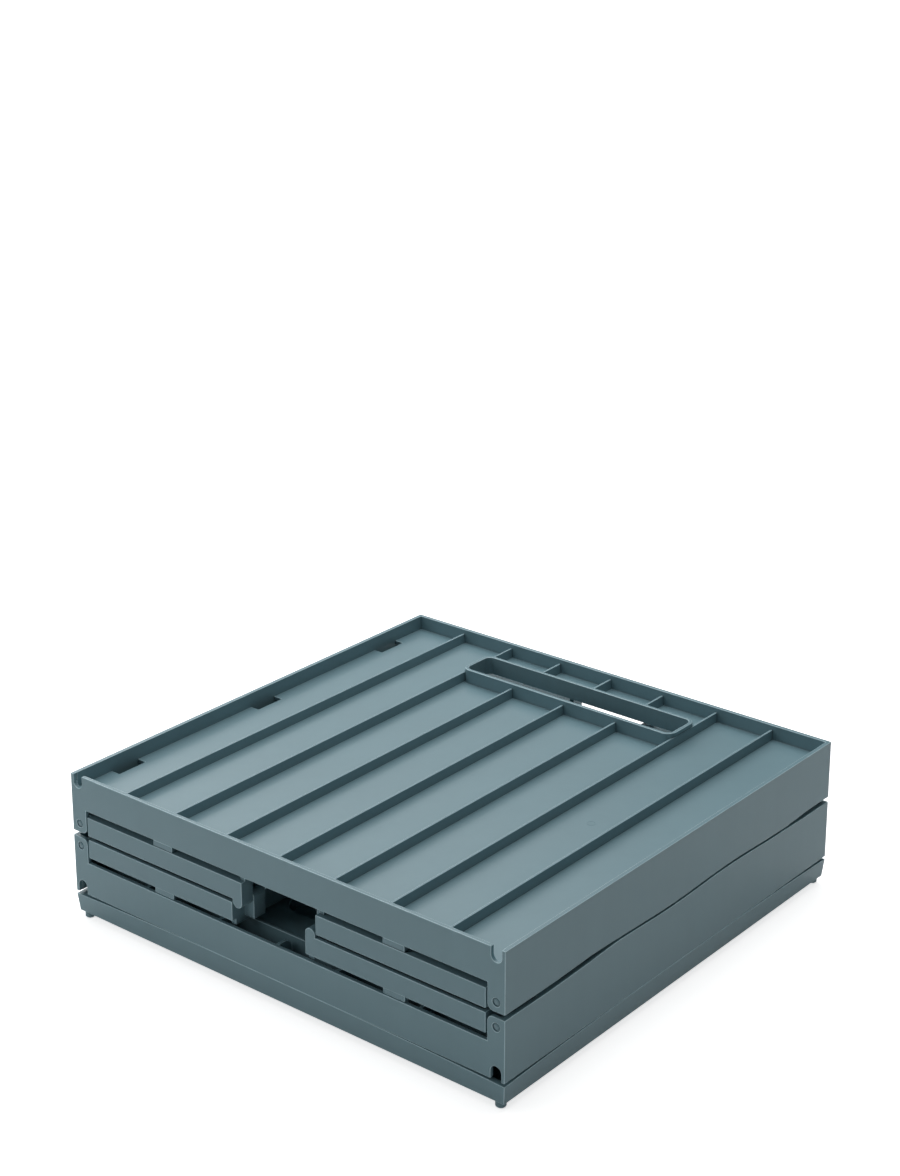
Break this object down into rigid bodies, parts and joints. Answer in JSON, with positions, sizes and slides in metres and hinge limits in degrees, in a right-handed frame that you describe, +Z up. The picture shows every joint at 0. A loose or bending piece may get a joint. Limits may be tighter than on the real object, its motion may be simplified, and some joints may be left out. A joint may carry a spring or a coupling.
{
  "type": "collapsible storage crate",
  "caption": "Folding plastic storage crate with ribbed hand-slot end walls, gusset side leaves, a loose floor and a studded lid, shown folded flat on its lid.",
  "frame": {"origin": "middle of the footprint, on the surface that the lid's studs stand on", "axes": "+X along the floor side from the left hinges to the right ones, +Y from the floor side to the open top side with the hand slots, +Z up through the folded stack"},
  "size_m": [0.32, 0.316, 0.0934],
  "materials": {
    "shell": "fine moulded grain, matt blue-grey",
    "leaf": "fine moulded grain, matt blue-grey",
    "pin": "smooth moulded, satin blue-grey"
  },
  "bodies": {
    "lid": {"lid": "shell"},
    "lower_wall": {"lower_end_wall": "shell", "left_lower_front_pin": "pin", "left_lower_rear_pin": "pin", "right_lower_front_pin": "pin", "right_lower_rear_pin": "pin"},
    "upper_wall": {"upper_end_wall": "shell", "left_upper_front_pin": "pin", "left_upper_rear_pin": "pin", "right_upper_front_pin": "pin", "right_upper_rear_pin": "pin"},
    "left_lower": {"left_lower_leaf": "leaf", "left_centre_front_pin": "pin", "left_centre_rear_pin": "pin"},
    "left_upper": {"left_upper_leaf": "leaf"},
    "right_lower": {"right_lower_leaf": "leaf"},
    "right_upper": {"right_upper_leaf": "leaf", "right_centre_front_pin": "pin", "right_centre_rear_pin": "pin"},
    "loose_floor": {"floor_panel": "shell"}
  },
  "joints": [
    {"name": "body_lift", "type": "slide", "parent": "lid", "child": "lower_wall", "axis": [0, 0, 1], "range_m": [0, 0.12]},
    {"name": "floor_slide", "type": "slide", "parent": "lower_wall", "child": "loose_floor", "axis": [0, 1, 0], "range_m": [0, 0.3]},
    {"name": "fold", "type": "hinge", "parent": "lower_wall", "child": "left_lower", "pos_m": [-0.1543, 0, 0.0482], "axis": [0, -1, 0], "range_deg": [0, 90]},
    {"name": "left_centre", "type": "hinge", "parent": "left_lower", "child": "left_upper", "pos_m": [-0.0271, 0, 0.0554], "axis": [0, 1, 0], "range_deg": [0, 180]},
    {"name": "left_top", "type": "hinge", "parent": "left_upper", "child": "upper_wall", "pos_m": [-0.1543, 0, 0.0626], "axis": [0, -1, 0], "range_deg": [0, 90]},
    {"name": "right_bottom", "type": "hinge", "parent": "lower_wall", "child": "right_lower", "pos_m": [0.1543, 0, 0.0482], "axis": [0, 1, 0], "range_deg": [0, 90]},
    {"name": "right_centre", "type": "hinge", "parent": "right_lower", "child": "right_upper", "pos_m": [0.0271, 0, 0.0554], "axis": [0, -1, 0], "range_deg": [0, 180]}
  ],
  "couplings": [
    {"joint": "left_centre", "follows": "fold", "ratio": 2},
    {"joint": "left_top", "follows": "fold", "ratio": 1},
    {"joint": "right_bottom", "follows": "fold", "ratio": 1},
    {"joint": "right_centre", "follows": "fold", "ratio": 2}
  ]
}
